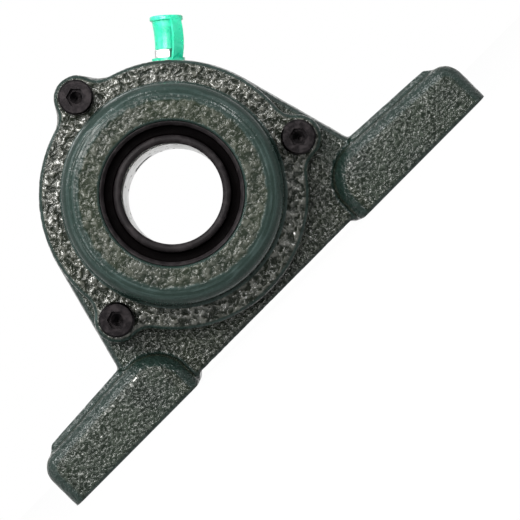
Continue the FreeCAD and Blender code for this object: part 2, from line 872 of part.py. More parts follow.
def make_inner_ring():
    """The insert's inner ring: extended to the rear, with two tapped holes for set screws."""
    body = new_body("inner_ring", FRONT)
    track = f"sqrt(race_radius^2 - ({INNER_RACE_CENTRE} - inner_ring_radius)^2)"
    profile = new_sketch(body, "profile", "XZ")
    draw_outline(profile, [
        ("shaft_radius", "ring_chamfer - inner_long_end"),
        ("shaft_radius + ring_chamfer", "-inner_long_end"),
        ("inner_ring_radius - ring_chamfer", "-inner_long_end"),
        ("inner_ring_radius", "ring_chamfer - inner_long_end"),
        ("inner_ring_radius", f"-{track}", "race_radius", -1),
        ("inner_ring_radius", track),
        ("inner_ring_radius", "inner_short_end - ring_chamfer"),
        ("inner_ring_radius - ring_chamfer", "inner_short_end"),
        ("shaft_radius + ring_chamfer", "inner_short_end"),
        ("shaft_radius", "inner_short_end - ring_chamfer"),
    ])
    revolve(body, profile)
    hole = new_sketch(body, "tapped", "XZ")
    draw_circle(hole, "0", "set_screw_inset - inner_long_end", "set_screw_radius + screw_clearance")
    drilled = pocket(body, hole, "inner_ring_radius")
    around(body, [drilled], "2", "set_screw_angle")
    return body


def make_set_screw():
    """A grub screw along Z, with its socket end at zero."""
    body = new_body("set_screw")
    profile = new_sketch(body, "profile", "XZ")
    draw_outline(profile, [
        ("0", "-set_screw_length"),
        ("set_screw_radius - screw_tip_chamfer", "-set_screw_length"),
        ("set_screw_radius", "screw_tip_chamfer - set_screw_length"),
        ("set_screw_radius", "0"),
        ("0", "0"),
    ])
    revolve(body, profile)
    add_hex_socket(body, "set_screw_flats", "0", "set_screw_socket_depth")
    return body


def set_screw_places():
    """Where the two set screws stand in the inner ring."""
    radius = value("inner_ring_radius - set_screw_sink")
    rear = value("set_screw_inset - inner_long_end")
    outward = Placement(Vector(0, radius, rear), Rotation(Vector(1, 0, 0), -90))
    for turn in (0, value("set_screw_angle")):
        yield FRONT * Placement(Vector(), Rotation(Vector(0, 0, 1), turn)) * outward


def make_ball(number):
    """One ball of the row, at its place round the pitch circle."""
    label = f"ball_{number + 1}"
    ball = doc.addObject("Part::Sphere", label)
    ball.Label = label
    bind(ball, Radius="ball_radius")
    angle = f"(360 / ball_count * {number})"
    ball.setExpression("Placement.Base.x", named(f"pitch_radius * cos({angle})"))
    ball.setExpression("Placement.Base.z", named(f"pitch_radius * sin({angle})"))
    return ball


def make_cage_half(label, facing):
    """One pressed half of the ribbon cage: a flat band with a round pocket over each ball."""
    body = new_body(label, facing)
    inner = "(pitch_radius - cage_band_width / 2)"
    outer = "(pitch_radius + cage_band_width / 2)"
    hollow = "(ball_radius + pocket_clearance)"
    shell = f"({hollow} + cage_sheet)"
    band = new_sketch(body, "band", "XY")
    draw_circle(band, "0", "0", outer)
    draw_circle(band, "0", "0", inner)
    pad(body, band, "cage_sheet")

    dome = new_sketch(body, "dome", "XZ")
    draw_outline(dome, [
        ("pitch_radius", hollow, hollow, -1),
        (f"pitch_radius + {hollow}", "0"),
        (f"pitch_radius + {shell}", "0", shell, 1),
        ("pitch_radius", shell),
    ])
    draw_axis(dome, ("pitch_radius", "0"), ("pitch_radius", shell))
    domes = revolve(body, dome, "Axis0")
    around(body, [domes], "ball_count")
    doc.recompute()

    room = new_sketch(body, "room", "XZ")
    draw_outline(room, [
        ("pitch_radius", "0"),
        (f"pitch_radius + {hollow}", "0", hollow, 1),
        ("pitch_radius", hollow),
    ])
    draw_axis(room, ("pitch_radius", "0"), ("pitch_radius", hollow))
    rooms = groove(body, room, "Axis0")
    around(body, [rooms], "ball_count")
    doc.recompute()

    trims = (("outside", outer, f"({outer} + {shell})"), ("inside", f"({inner} - {shell})", inner))
    for name, low, high in trims:
        trim = new_sketch(body, name, "XZ")
        draw_outline(trim, [
            (low, "-cage_sheet"),
            (high, "-cage_sheet"),
            (high, f"{shell} + cage_sheet"),
            (low, f"{shell} + cage_sheet"),
        ])
        groove(body, trim)

    hole = new_sketch(body, "rivet_hole", "XY", offset="cage_sheet")
    half_step = "(180 / ball_count)"
    draw_circle(hole, f"pitch_radius * cos({half_step})", f"pitch_radius * sin({half_step})",
                "rivet_radius + rivet_clearance")
    holes = pocket(body, hole, "cage_sheet")
    around(body, [holes], "ball_count")
    return body


def make_rivet():
    """A cage rivet along Z, with a head on each side of the two bands."""
    body = new_body("rivet")
    flat = "(rivet_head_radius / 2)"
    profile = new_sketch(body, "profile", "XZ")
    draw_outline(profile, [
        ("0", "-(cage_sheet + rivet_head_height)"),
        (flat, "-(cage_sheet + rivet_head_height)"),
        ("rivet_head_radius", "-cage_sheet"),
        ("rivet_radius", "-cage_sheet"),
        ("rivet_radius", "cage_sheet"),
        ("rivet_head_radius", "cage_sheet"),
        (flat, "cage_sheet + rivet_head_height"),
        ("0", "cage_sheet + rivet_head_height"),
    ])
    revolve(body, profile)
    return body


def rivet_places():
    """The places of the rivets, midway between the balls."""
    count = int(value("ball_count"))
    for number in range(count):
        centre = polar(value("pitch_radius"), 360 / count * (number + 0.5))
        yield FRONT * Placement(Vector(centre.x, centre.y, 0), Rotation())


def make_rim_seal(label, facing):
    """A rubber seal held in the outer ring's rim, with its lip at the inner ring."""
    body = new_body(label, facing)
    seat = "(ring_width / 2 - rim_depth)"
    front = f"({seat} + rim_seal_thickness)"
    lip = "(inner_ring_radius + rim_lip_gap)"
    profile = new_sketch(body, "profile", "XZ")
    draw_outline(profile, [
        (f"{lip} + 2 * rim_seal_thickness", seat),
        ("rim_radius", seat),
        ("rim_radius", front),
        (f"{lip} + rim_seal_thickness", front),
        (lip, f"{front} + rim_lip_rise"),
        (lip, f"{front} - rim_lip_rise"),
    ])
    revolve(body, profile)
    return body


def make_slinger(label, facing):
    """A pressed steel flinger on the inner ring, covering the rubber seal."""
    body = new_body(label, facing)
    back = "slinger_offset"
    collar = "(inner_ring_radius + slinger_sheet)"
    profile = new_sketch(body, "profile", "XZ")
    draw_outline(profile, [
        ("inner_ring_radius", back),
        ("slinger_radius", back),
        ("slinger_radius", f"{back} + slinger_sheet"),
        (collar, f"{back} + slinger_sheet"),
        (collar, f"{back} + slinger_collar"),
        ("inner_ring_radius", f"{back} + slinger_collar"),
    ])
    revolve(body, profile)
    return body


CHECK_EDGE = "(nipple_height - nipple_mouth_depth)"
CHECK_BALL = f"({CHECK_EDGE} - sqrt(check_ball_radius^2 - nipple_mouth_radius^2) - check_ball_play)"
SPRING_TOP = f"({CHECK_BALL} - check_ball_radius)"
SPRING_FOOT = f"({SPRING_TOP} - check_spring_length)"
HEX_TOP = "(cap_ring_thickness + nipple_hex_height)"


def nipple_place():
    """The place of the grease nipple: Z points out of the head, X to the cap's strap."""
    angle = math.radians(value("nipple_angle"))
    swing = math.radians(value("strap_angle"))
    outward = Vector(math.cos(angle), 0, math.sin(angle))
    across = Vector(math.sin(angle), 0, -math.cos(angle))
    strap = Vector(0, -1, 0) * math.cos(swing) + across * math.sin(swing)
    turn = Rotation(strap, outward.cross(strap), outward, "ZXY")
    return Placement(outward * value(NIPPLE_SEAT), turn)


def make_grease_nipple():
    """A turned steel nipple: threaded stem, hexagon, neck and head, bored for its check ball."""
    body = new_body("grease_nipple", nipple_place())
    profile = new_sketch(body, "profile", "XZ")
    draw_outline(profile, [
        ("nipple_feed_radius", f"-{NIPPLE_THREAD}"),
        ("nipple_thread_radius - screw_tip_chamfer", f"-{NIPPLE_THREAD}"),
        ("nipple_thread_radius", f"screw_tip_chamfer - {NIPPLE_THREAD}"),
        ("nipple_thread_radius", "cap_ring_thickness"),
        ("nipple_neck_radius", "cap_ring_thickness"),
        ("nipple_neck_radius", f"{HEX_TOP} + nipple_neck_rise"),
        ("nipple_head_radius", f"{HEX_TOP} + 2 * nipple_neck_rise"),
        ("nipple_head_radius", "nipple_height - nipple_nose_length"),
        ("nipple_mouth_radius + nipple_mouth_depth", "nipple_height"),
        ("nipple_mouth_radius", "nipple_height"),
        ("nipple_mouth_radius", CHECK_EDGE),
        ("nipple_bore_radius", CHECK_EDGE),
        ("nipple_bore_radius", SPRING_FOOT),
        ("nipple_feed_radius", SPRING_FOOT),
    ])
    revolve(body, profile)
    doc.recompute()
    hexagon = new_sketch(body, "hexagon", "XY", offset="cap_ring_thickness")
    draw_hexagon(hexagon, "nipple_hex_flats", 30)
    draw_circle(hexagon, "0", "0", "nipple_neck_radius - nipple_mouth_depth")
    pad(body, hexagon, "nipple_hex_height")

    flat = "(nipple_hex_flats / 2)"
    corner = "(nipple_hex_flats / sqrt(3) + screw_tip_chamfer)"
    drop = f"(({corner} - {flat}) * tan(nipple_hex_bevel))"
    for end, face, way in (("top", HEX_TOP, "-"), ("foot", "cap_ring_thickness", "+")):
        bevel = new_sketch(body, f"hexagon_{end}", "XZ")
        draw_outline(bevel, [(flat, face), (corner, face), (corner, f"{face} {way} {drop}")])
        groove(body, bevel)
    return body


def make_check_ball():
    """The nipple's check ball, just inside the mouth."""
    ball = doc.addObject("Part::Sphere", "nipple_ball")
    ball.Label = "nipple_ball"
    bind(ball, Radius="check_ball_radius")
    doc.recompute()
    ball.Placement = nipple_place() * Placement(Vector(0, 0, value(CHECK_BALL)), Rotation())
    return ball


def make_check_spring():
    """The coil spring that holds the check ball against the mouth."""
    wire = value("check_spring_wire")
    height = value("check_spring_length") - 2 * wire
    radius = value("nipple_bore_radius - 2 * check_spring_wire")
    helix = Part.makeHelix(height / value("check_spring_turns"), height, radius)
    section = Part.Wire(Part.makeCircle(wire, Vector(radius, 0, 0), Vector(0, 1, 0)))
    spring = doc.addObject("Part::Feature", "nipple_spring")
    spring.Label = "nipple_spring"
    coil = Part.Wire(helix.Edges).makePipeShell([section], True, True)
    coil.translate(Vector(0, 0, value(SPRING_FOOT) + wire))
    spring.Shape = Part.makeCompound([coil]).Solids[0]
    spring.Placement = nipple_place() * spring.Placement
    return spring


def make_nipple_cap():
    """The moulded plastic cap, its strap and the ring under the hexagon, all one moulding."""
    body = new_body("nipple_cap", nipple_place())
    top = "cap_height"
    brim = "(cap_height - cap_rim_thickness)"
    foot = f"({HEX_TOP} + check_ball_play)"
    ceiling = "(nipple_height + check_ball_play)"
    cup = new_sketch(body, "cup", "XZ")
    draw_outline(cup, [
        ("cap_foot_radius - cap_wall", foot),
        ("cap_foot_radius", foot, "cap_waist_radius", -1),
        ("cap_top_radius", brim),
        ("cap_rim_radius - cap_rim_rounding", brim, "cap_rim_rounding", 1),
        ("cap_rim_radius", f"{brim} + cap_rim_rounding"),
        ("cap_rim_radius", f"{top} - cap_rim_rounding", "cap_rim_rounding", 1),
        ("cap_rim_radius - cap_rim_rounding", top),
        ("0", top),
        ("0", ceiling),
        ("cap_top_radius - cap_wall", ceiling, "cap_waist_radius", 1),
    ])
    revolve(body, cup)

    low = "(cap_ring_thickness / 2)"
    high = "(cap_height - cap_rim_thickness / 2)"
    outside = "(cap_ring_radius - strap_thickness / 4)"
    inside = "(cap_ring_radius - strap_thickness * 5 / 4)"
    bend = f"((({high} - {low})^2 / 4 + strap_bulge^2) / (2 * strap_bulge))"
    strap = new_sketch(body, "strap", "XZ")
    draw_outline(strap, [
        (inside, low),
        (outside, low, bend, 1),
        (outside, high),
        (inside, high, bend, -1),
    ])
    pad(body, strap, "strap_width", symmetric=True)

    ring = new_sketch(body, "ring", "XZ")
    draw_outline(ring, [
        ("nipple_thread_radius + screw_clearance", "0"),
        ("cap_ring_radius", "0"),
        ("cap_ring_radius", "cap_ring_thickness"),
        ("nipple_thread_radius + screw_clearance", "cap_ring_thickness"),
    ])
    revolve(body, ring)
    return body


def make_parts():
    """Every separate piece of the unit."""
    screw = make_cap_screw()
    grub = make_set_screw()
    rivet = make_rivet()
    front_screws = [lug_place(angle, FLANGE_FRONT, FRONT) for angle in LUG_ANGLES]
    rear_screws = [lug_place(angle, FLANGE_FRONT, REAR) for angle in LUG_ANGLES]
    parts = [
        make_housing(),
        make_cover("cover_front", FRONT),
        make_cover("cover_rear", REAR),
        make_cover_seal("cover_seal_front", FRONT),
        make_cover_seal("cover_seal_rear", REAR),
        copies("front_cover_bolts", screw, front_screws),
        copies("rear_cover_bolts", screw, rear_screws),
        make_outer_ring(),
        make_inner_ring(),
        make_cage_half("cage_half_front", FRONT),
        make_cage_half("cage_half_rear", REAR_FLIPPED),
        copies("cage_rivets", rivet, rivet_places()),
        make_rim_seal("bearing_seal_front", FRONT),
        make_rim_seal("bearing_seal_rear", REAR),
        make_slinger("slinger_front", FRONT),
        make_slinger("slinger_rear", REAR),
        copies("set_screws", grub, set_screw_places()),
        make_grease_nipple(),
        make_check_ball(),
        make_check_spring(),
        make_nipple_cap(),
    ]
    parts += [make_ball(number) for number in range(int(value("ball_count")))]
    return parts


def check(parts):
    """Stop where a feature failed or a piece isn't a sound solid."""
    doc.recompute()
    for feature in doc.Objects:
        if {"Invalid", "Error"} & set(feature.State):
            raise ValueError(f"{feature.Name} failed: {feature.State}")
    for part in parts:
        if part.Shape.isNull() or not part.Shape.isValid() or part.Shape.Volume <= 0:
            raise ValueError(f"{part.Label} isn't a sound solid")


parts = make_parts()
check(parts)
os.makedirs("parts", exist_ok=True)
for part in parts:
    part.Shape.exportStep(f"parts/{part.Label}.step")
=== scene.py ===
import math

import bmesh
import bpy
from mathutils import Matrix, Vector, noise


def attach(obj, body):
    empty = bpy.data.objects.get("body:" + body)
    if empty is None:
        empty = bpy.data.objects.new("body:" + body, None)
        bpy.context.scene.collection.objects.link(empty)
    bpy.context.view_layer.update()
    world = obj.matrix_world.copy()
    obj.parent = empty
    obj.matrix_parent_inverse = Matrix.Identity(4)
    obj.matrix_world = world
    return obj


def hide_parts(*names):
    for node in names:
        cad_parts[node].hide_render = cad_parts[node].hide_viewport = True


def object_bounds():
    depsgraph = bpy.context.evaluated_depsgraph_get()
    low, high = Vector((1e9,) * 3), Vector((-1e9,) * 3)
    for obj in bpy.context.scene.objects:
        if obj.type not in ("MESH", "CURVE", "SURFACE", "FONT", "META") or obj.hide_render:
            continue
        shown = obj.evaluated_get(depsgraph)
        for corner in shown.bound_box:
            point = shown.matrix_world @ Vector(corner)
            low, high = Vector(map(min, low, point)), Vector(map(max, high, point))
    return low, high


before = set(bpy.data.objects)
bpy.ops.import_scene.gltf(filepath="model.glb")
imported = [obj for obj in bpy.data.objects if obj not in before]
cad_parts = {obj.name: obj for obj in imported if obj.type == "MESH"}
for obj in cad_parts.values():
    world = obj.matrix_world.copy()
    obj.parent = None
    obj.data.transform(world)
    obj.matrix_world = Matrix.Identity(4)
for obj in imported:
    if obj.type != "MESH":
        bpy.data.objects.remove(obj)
cad_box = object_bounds()

# Housing. A grey iron sand casting with two long feet, a round head and a spherical seat for the
# insert. Its outside keeps the rough skin of the mould under a thick dark green enamel; the seat,
# the bolt slots and the undersides of the feet are smooth.
SAME_POINT = 0.000001
HOUSING_GRID = 0.00056
SOFT_CORNER_SHARE = 0.5
SOFT_CORNER_ROUNDS = 2
SKIN_DEPTH = 0.00016
SKIN_SWELL = 0.0026
SKIN_SWELL_SHARE = 0.55
SKIN_GRAIN = 0.0013
SKIN_GRAIN_EDGE = 0.35
SKIN_GRAIN_BEND = 0.7
SKIN_GRAIN_BEND_PACE = 0.6
EDGE_TURN_START = (0.30, 0.45)
EDGE_TURN_END = (0.90, 0.985)
HOUSING_EDGE_CALM = 0.55
NOISE_SPAN = (0.3, 0.7)


def smooth_step(low, high, value):
    """0 below low, 1 above high, and a soft ramp between."""
    share = min(max((value - low) / (high - low), 0.0), 1.0)
    return share * share * (3 - 2 * share)


def link_piece(name, mesh):
    """A new piece with its place in its mesh."""
    piece = bpy.data.objects.new(name, mesh)
    bpy.context.scene.collection.objects.link(piece)
    return piece


def remeshed_copy(node, name, grid):
    """A closed, even copy of a packed casting, with its corners softened as enamel softens them."""
    shape = bmesh.new()
    shape.from_mesh(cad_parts[node].data)
    bmesh.ops.remove_doubles(shape, verts=shape.verts, dist=SAME_POINT)
    bmesh.ops.recalc_face_normals(shape, faces=shape.faces)
    mesh = bpy.data.meshes.new(name + "_copy")
    shape.to_mesh(mesh)
    shape.free()
    draft = link_piece(name + "_copy", mesh)
    even = draft.modifiers.new("even skin", "REMESH")
    even.mode = "VOXEL"
    even.voxel_size = grid
    soft = draft.modifiers.new("soft corners", "SMOOTH")
    soft.factor = SOFT_CORNER_SHARE
    soft.iterations = SOFT_CORNER_ROUNDS
    ready = draft.evaluated_get(bpy.context.evaluated_depsgraph_get())
    result = bpy.data.meshes.new_from_object(ready)
    bpy.data.objects.remove(draft)
    bpy.data.meshes.remove(mesh)
    result.materials.clear()
    result.shade_smooth()
    return link_piece(name, result)


def roughen(piece, skin_at, edge_calm, coarse):
    """Raise and sink the sand-cast skin of a piece, calmer on its rounded edges, and keep for each
    point how rough it is, its enamel's thickness and painted edge sheen, and how coarse its grain is."""
    mesh = piece.data
    rough = []
    thick_and_sheen = []
    moves = []
    for vertex in mesh.vertices:
        spot = vertex.co.copy()
        facing = abs(vertex.normal.y)
        rounded = smooth_step(*EDGE_TURN_START, facing) * (1 - smooth_step(*EDGE_TURN_END, facing))
        skin, enamel = skin_at(spot)
        share = skin * (1 - edge_calm * rounded)
        swell = noise.noise(spot / SKIN_SWELL)
        place = spot / SKIN_GRAIN
        place += noise.noise_vector(place * SKIN_GRAIN_BEND_PACE) * SKIN_GRAIN_BEND
        grain = smooth_step(-SKIN_GRAIN_EDGE, SKIN_GRAIN_EDGE, noise.noise(place))
        height = SKIN_SWELL_SHARE * swell + (1 - SKIN_SWELL_SHARE) * (2 * grain - 1)
        rough.append(share)
        # The edge mask: enamel thickness and the painted shade and sheen of a smooth edge.
        thick_and_sheen.append(max(rounded, enamel))
        moves.append(vertex.normal * (SKIN_DEPTH / 2 * share * height))
    for vertex, move in zip(mesh.vertices, moves):
        moved = vertex.co + move
        vertex.co = [min(max(place, low), high) for place, low, high in zip(moved, *cad_box)]
    kept = {"cast_skin": rough, "thick_enamel_and_sheen": thick_and_sheen, "coarse_skin": [coarse] * len(rough)}
    for label, values in kept.items():
        mesh.attributes.new(label, "FLOAT", "POINT").data.foreach_set("value", values)


def new_material(name):
    """A material, its node tree and its shader."""
    material = bpy.data.materials.new(name)
    material.use_nodes = True
    return material, material.node_tree, material.node_tree.nodes["Principled BSDF"]


def feed(tree, socket, source):
    """Link a socket to what feeds it, or set it where that is a plain value."""
    if isinstance(source, (int, float, tuple)):
        socket.default_value = source
    else:
        tree.links.new(source, socket)


def object_place(tree):
    """Places in the piece's own metres, which every pattern follows."""
    return tree.nodes.new("ShaderNodeTexCoord").outputs["Object"]


def kept_value(tree, label):
    """A value that a mesh keeps for each of its points."""
    node = tree.nodes.new("ShaderNodeAttribute")
    node.attribute_name = label
    return node.outputs["Fac"]


def mapped(tree, source, low, high, kind="LINEAR", to_low=0.0, to_high=1.0):
    """A value moved from one range to another."""
    node = tree.nodes.new("ShaderNodeMapRange")
    node.interpolation_type = kind
    node.inputs["From Min"].default_value = low
    node.inputs["From Max"].default_value = high
    feed(tree, node.inputs["To Min"], to_low)
    feed(tree, node.inputs["To Max"], to_high)
    feed(tree, node.inputs["Value"], source)
    return node.outputs["Result"]


def spread(tree, source, low, high):
    """A noise spread from low to high; most of it lies within the noise span."""
    return mapped(tree, source, *NOISE_SPAN, to_low=low, to_high=high)


def math_node(tree, operation, *sources):
    """What a Math node makes of its values."""
    node = tree.nodes.new("ShaderNodeMath")
    node.operation = operation
    for socket, source in zip(node.inputs, sources):
        feed(tree, socket, source)
    return node.outputs["Value"]


def mixed(tree, share, first, second):
    """A colour between two colours."""
    node = tree.nodes.new("ShaderNodeMix")
    node.data_type = "RGBA"
    feed(tree, node.inputs["Factor"], share)
    feed(tree, node.inputs["A"], first)
    feed(tree, node.inputs["B"], second)
    return node.outputs["Result"]


def noise_node(tree, place, waves_per_metre, detail=2.0, distortion=0.0):
    """A Noise Texture at a place."""
    node = tree.nodes.new("ShaderNodeTexNoise")
    feed(tree, node.inputs["Scale"], waves_per_metre)
    feed(tree, node.inputs["Detail"], detail)
    feed(tree, node.inputs["Distortion"], distortion)
    feed(tree, node.inputs["Vector"], place)
    return node.outputs["Fac"]


def bumped(tree, height, strength, depth):
    """The normal of a surface with a small relief."""
    bump = tree.nodes.new("ShaderNodeBump")
    feed(tree, bump.inputs["Strength"], strength)
    feed(tree, bump.inputs["Distance"], depth)
    feed(tree, bump.inputs["Height"], height)
    return bump.outputs["Normal"]


# The first five hold the housing's value and then the covers', whose skin is coarser.
WORMS_PER_METRE = (1150.0, 760.0)
WORM_DEPTH = (0.00024, 0.00032)
# How light the peaks are: partly thinner enamel, partly painted sheen.
PEAK_PALENESS_AND_SHEEN = (0.2, 0.62)
FACE_GLOSS = (0.8, 1.0)
EDGE_GLOSS = (0.35, 0.14)
WORM_TOPS = (0.30, 0.68)
WORM_DETAIL = 1.5
WORM_BEND = 0.35
FINE_PER_METRE = 2600.0
FINE_SHARE = 0.04
BROAD_PER_METRE = 260.0
BROAD_SHARE = 0.6
LEAST_SKIN = 0.12
ENAMEL = (0.009, 0.0155, 0.0065, 1.0)
ENAMEL_DEEP = (0.006, 0.011, 0.006, 1.0)
# Painted shade: the near-black colour that the skin's hollows are darkened towards.
PIT_PAINTED_SHADE = (0.002, 0.003, 0.002, 1.0)
# Lighter colour of the peaks: partly thinner enamel, partly painted sheen.
THIN_ENAMEL_AND_SHEEN = (0.088, 0.088, 0.076, 1.0)
# Colour of smooth edges, darker and bluer: painted shade and reflection.
EDGE_ENAMEL_SHADE_AND_SHEEN = (0.0095, 0.0185, 0.0155, 1.0)
# Lighter streaks on the covers' smooth edges: painted highlight lines.
EDGE_STREAK_HIGHLIGHT = (0.036, 0.056, 0.053, 1.0)
CLOUDS_PER_METRE = 90.0
CLOUD_EDGE = (0.35, 0.68)
# How the edge mask turns on, for enamel thickness and the painted edge shade and sheen.
THICK_AND_SHEEN_EDGE = (0.1, 0.9)
# How far the hollows are darkened by painted shade.
HOLLOW_SHADE = 0.75
STREAKS_PER_METRE = 1100.0
STREAK_EDGE = (0.46, 0.72)
# How far the streaks are lightened by painted highlight.
STREAK_HIGHLIGHT_SHARE = 0.6
STREAK_HEIGHT = 0.6
STREAK_DRIFT = 0.004
DRIFTS_PER_METRE = 60.0
UNEVEN_PER_METRE = 700.0
ENAMEL_ROUGHNESS = (0.22, 0.36)
ENAMEL_SPECULAR = 0.08
COAT_IOR = 1.46
COAT_ROUGHNESS = 0.07
COAT_HOLLOWS = (0.15, 0.85)
COAT_LEFT_IN_HOLLOWS = 0.05
COAT_SKIN = (0.42, 0.95)


def housing_or_cover(tree, coarse, pair):
    """The housing's value on the housing, and the covers' value on them."""
    housing_value, cover_value = pair
    return mapped(tree, coarse, 0.0, 1.0, to_low=housing_value, to_high=cover_value)


def cast_relief(tree, place, skin, coarse):
    """The rough skin of a sand casting under thick enamel: flat-topped worms, pits between them
    and slow waves. It gives the height of the skin, where its peaks are and where its hollows."""
    worms_per_metre = housing_or_cover(tree, coarse, WORMS_PER_METRE)
    worms = noise_node(tree, place, worms_per_metre, WORM_DETAIL, WORM_BEND)
    tops = mapped(tree, worms, *WORM_TOPS, "SMOOTHSTEP")
    fine = math_node(tree, "MULTIPLY", noise_node(tree, place, FINE_PER_METRE), FINE_SHARE)
    broad = math_node(tree, "MULTIPLY", noise_node(tree, place, BROAD_PER_METRE), BROAD_SHARE)
    relief = math_node(tree, "ADD", math_node(tree, "ADD", tops, fine), broad)
    share = mapped(tree, skin, 0.0, 1.0, to_low=LEAST_SKIN)
    height = math_node(tree, "MULTIPLY", relief, share)
    peaks = math_node(tree, "MULTIPLY", tops, share)
    hollows = math_node(tree, "MULTIPLY", math_node(tree, "SUBTRACT", 1.0, tops), share)
    return height, peaks, hollows


def ring_streaks(tree, place):
    """Fine streaks that run round the bore, as a core box leaves them."""
    flat = tree.nodes.new("ShaderNodeVectorMath")
    flat.operation = "MULTIPLY"
    flat.inputs[1].default_value = (1.0, 0.0, 1.0)
    feed(tree, flat.inputs[0], place)
    reach = tree.nodes.new("ShaderNodeVectorMath")
    reach.operation = "LENGTH"
    feed(tree, reach.inputs[0], flat.outputs["Vector"])
    split = tree.nodes.new("ShaderNodeSeparateXYZ")
    feed(tree, split.inputs["Vector"], place)
    drift = noise_node(tree, place, DRIFTS_PER_METRE)
    joined = tree.nodes.new("ShaderNodeCombineXYZ")
    feed(tree, joined.inputs["X"], reach.outputs["Value"])
    feed(tree, joined.inputs["Y"], split.outputs["Y"])
    feed(tree, joined.inputs["Z"], math_node(tree, "MULTIPLY", drift, STREAK_DRIFT))
    return noise_node(tree, joined.outputs["Vector"], STREAKS_PER_METRE)


def casting_enamel():
    """Thick dark green gloss enamel on a rough casting: its peaks lighter, partly from thinner enamel
    and partly as painted sheen; its smooth edges darker and bluer with painted shade and reflection;
    its hollows darkened with painted shade; and painted highlight streaks on the covers' edges."""
    material, tree, shader = new_material("casting_enamel")
    place = object_place(tree)
    skin = kept_value(tree, "cast_skin")
    coarse = kept_value(tree, "coarse_skin")
    edge = mapped(tree, kept_value(tree, "thick_enamel_and_sheen"), *THICK_AND_SHEEN_EDGE, "SMOOTHSTEP")
    height, peaks, hollows = cast_relief(tree, place, skin, coarse)
    streaks = ring_streaks(tree, place)

    cloud = noise_node(tree, place, CLOUDS_PER_METRE, detail=3.0)
    base = mixed(tree, mapped(tree, cloud, *CLOUD_EDGE, "SMOOTHSTEP"), ENAMEL, ENAMEL_DEEP)
    # Peaks lighter: thinner enamel and painted sheen.
    thin_and_sheen = math_node(tree, "MULTIPLY", peaks, housing_or_cover(tree, coarse, PEAK_PALENESS_AND_SHEEN))
    base = mixed(tree, thin_and_sheen, base, THIN_ENAMEL_AND_SHEEN)
    # Streaks on the covers' edges lightened: painted highlight lines.
    streak_highlight = mapped(tree, streaks, *STREAK_EDGE, "SMOOTHSTEP", to_high=STREAK_HIGHLIGHT_SHARE)
    streak_highlight = math_node(tree, "MULTIPLY", streak_highlight, coarse)
    # Smooth edges in the darker, bluer colour: painted shade and reflection.
    base = mixed(tree, edge, base, mixed(tree, streak_highlight, EDGE_ENAMEL_SHADE_AND_SHEEN, EDGE_STREAK_HIGHLIGHT))
    # Hollows darkened: painted shade.
    shaded = math_node(tree, "MULTIPLY", hollows, HOLLOW_SHADE)
    feed(tree, shader.inputs["Base Color"], mixed(tree, shaded, base, PIT_PAINTED_SHADE))

    uneven = noise_node(tree, place, UNEVEN_PER_METRE)
    feed(tree, shader.inputs["Roughness"], spread(tree, uneven, *ENAMEL_ROUGHNESS))
    shader.inputs["Specular IOR Level"].default_value = ENAMEL_SPECULAR
    shader.inputs["Coat IOR"].default_value = COAT_IOR
    shader.inputs["Coat Roughness"].default_value = COAT_ROUGHNESS
    coat = mapped(tree, hollows, *COAT_HOLLOWS, to_low=1.0, to_high=COAT_LEFT_IN_HOLLOWS)
    edge_gloss = housing_or_cover(tree, coarse, EDGE_GLOSS)
    face_gloss = housing_or_cover(tree, coarse, FACE_GLOSS)
    gloss = mapped(tree, skin, *COAT_SKIN, to_low=edge_gloss, to_high=face_gloss)
    feed(tree, shader.inputs["Coat Weight"], math_node(tree, "MULTIPLY", coat, gloss))

    ridges = math_node(tree, "MULTIPLY", math_node(tree, "MULTIPLY", streaks, edge), STREAK_HEIGHT)
    ridges = math_node(tree, "MULTIPLY", ridges, coarse)
    raised = math_node(tree, "ADD", height, ridges)
    normal = bumped(tree, raised, 1.0, housing_or_cover(tree, coarse, WORM_DEPTH))
    feed(tree, shader.inputs["Normal"], normal)
    feed(tree, shader.inputs["Coat Normal"], normal)
    return material


BORE_RADIUS = 0.0276
UNDERSIDE_DEPTH = 0.0004
SLOT_CENTRE = 0.0525
SLOT_REACH = 0.0088
SLOT_HALF_WIDTH = 0.0070
PAD_SKIN = 0.12
PAD_START = 0.0400
PAD_HALF_WIDTH = 0.0142
PAD_END_HEIGHT = -0.0222
PAD_END = 0.070
PAD_SLOPE = math.radians(3.3)
WEB_END = 0.0295
FOOT_START = 0.0335
FOOT_CLOUD = 0.0045
FOOT_CLOUD_EDGE = 0.4
FOOT_CALM = 0.35
# Share of the edge colour, painted shade and sheen, that the feet take.
FOOT_THICK_AND_SHEEN = 0.4
SPOT_FACE_ANGLE = math.radians(48)
SPOT_FACE_START = 0.02
SPOT_FACE_HEIGHT = 0.0338
SPOT_FACE_RADIUS = 0.0049


def pad_height(across):
    """Just under the sloping top of a bolt pad."""
    return PAD_END_HEIGHT + (PAD_END - abs(across)) * math.tan(PAD_SLOPE)


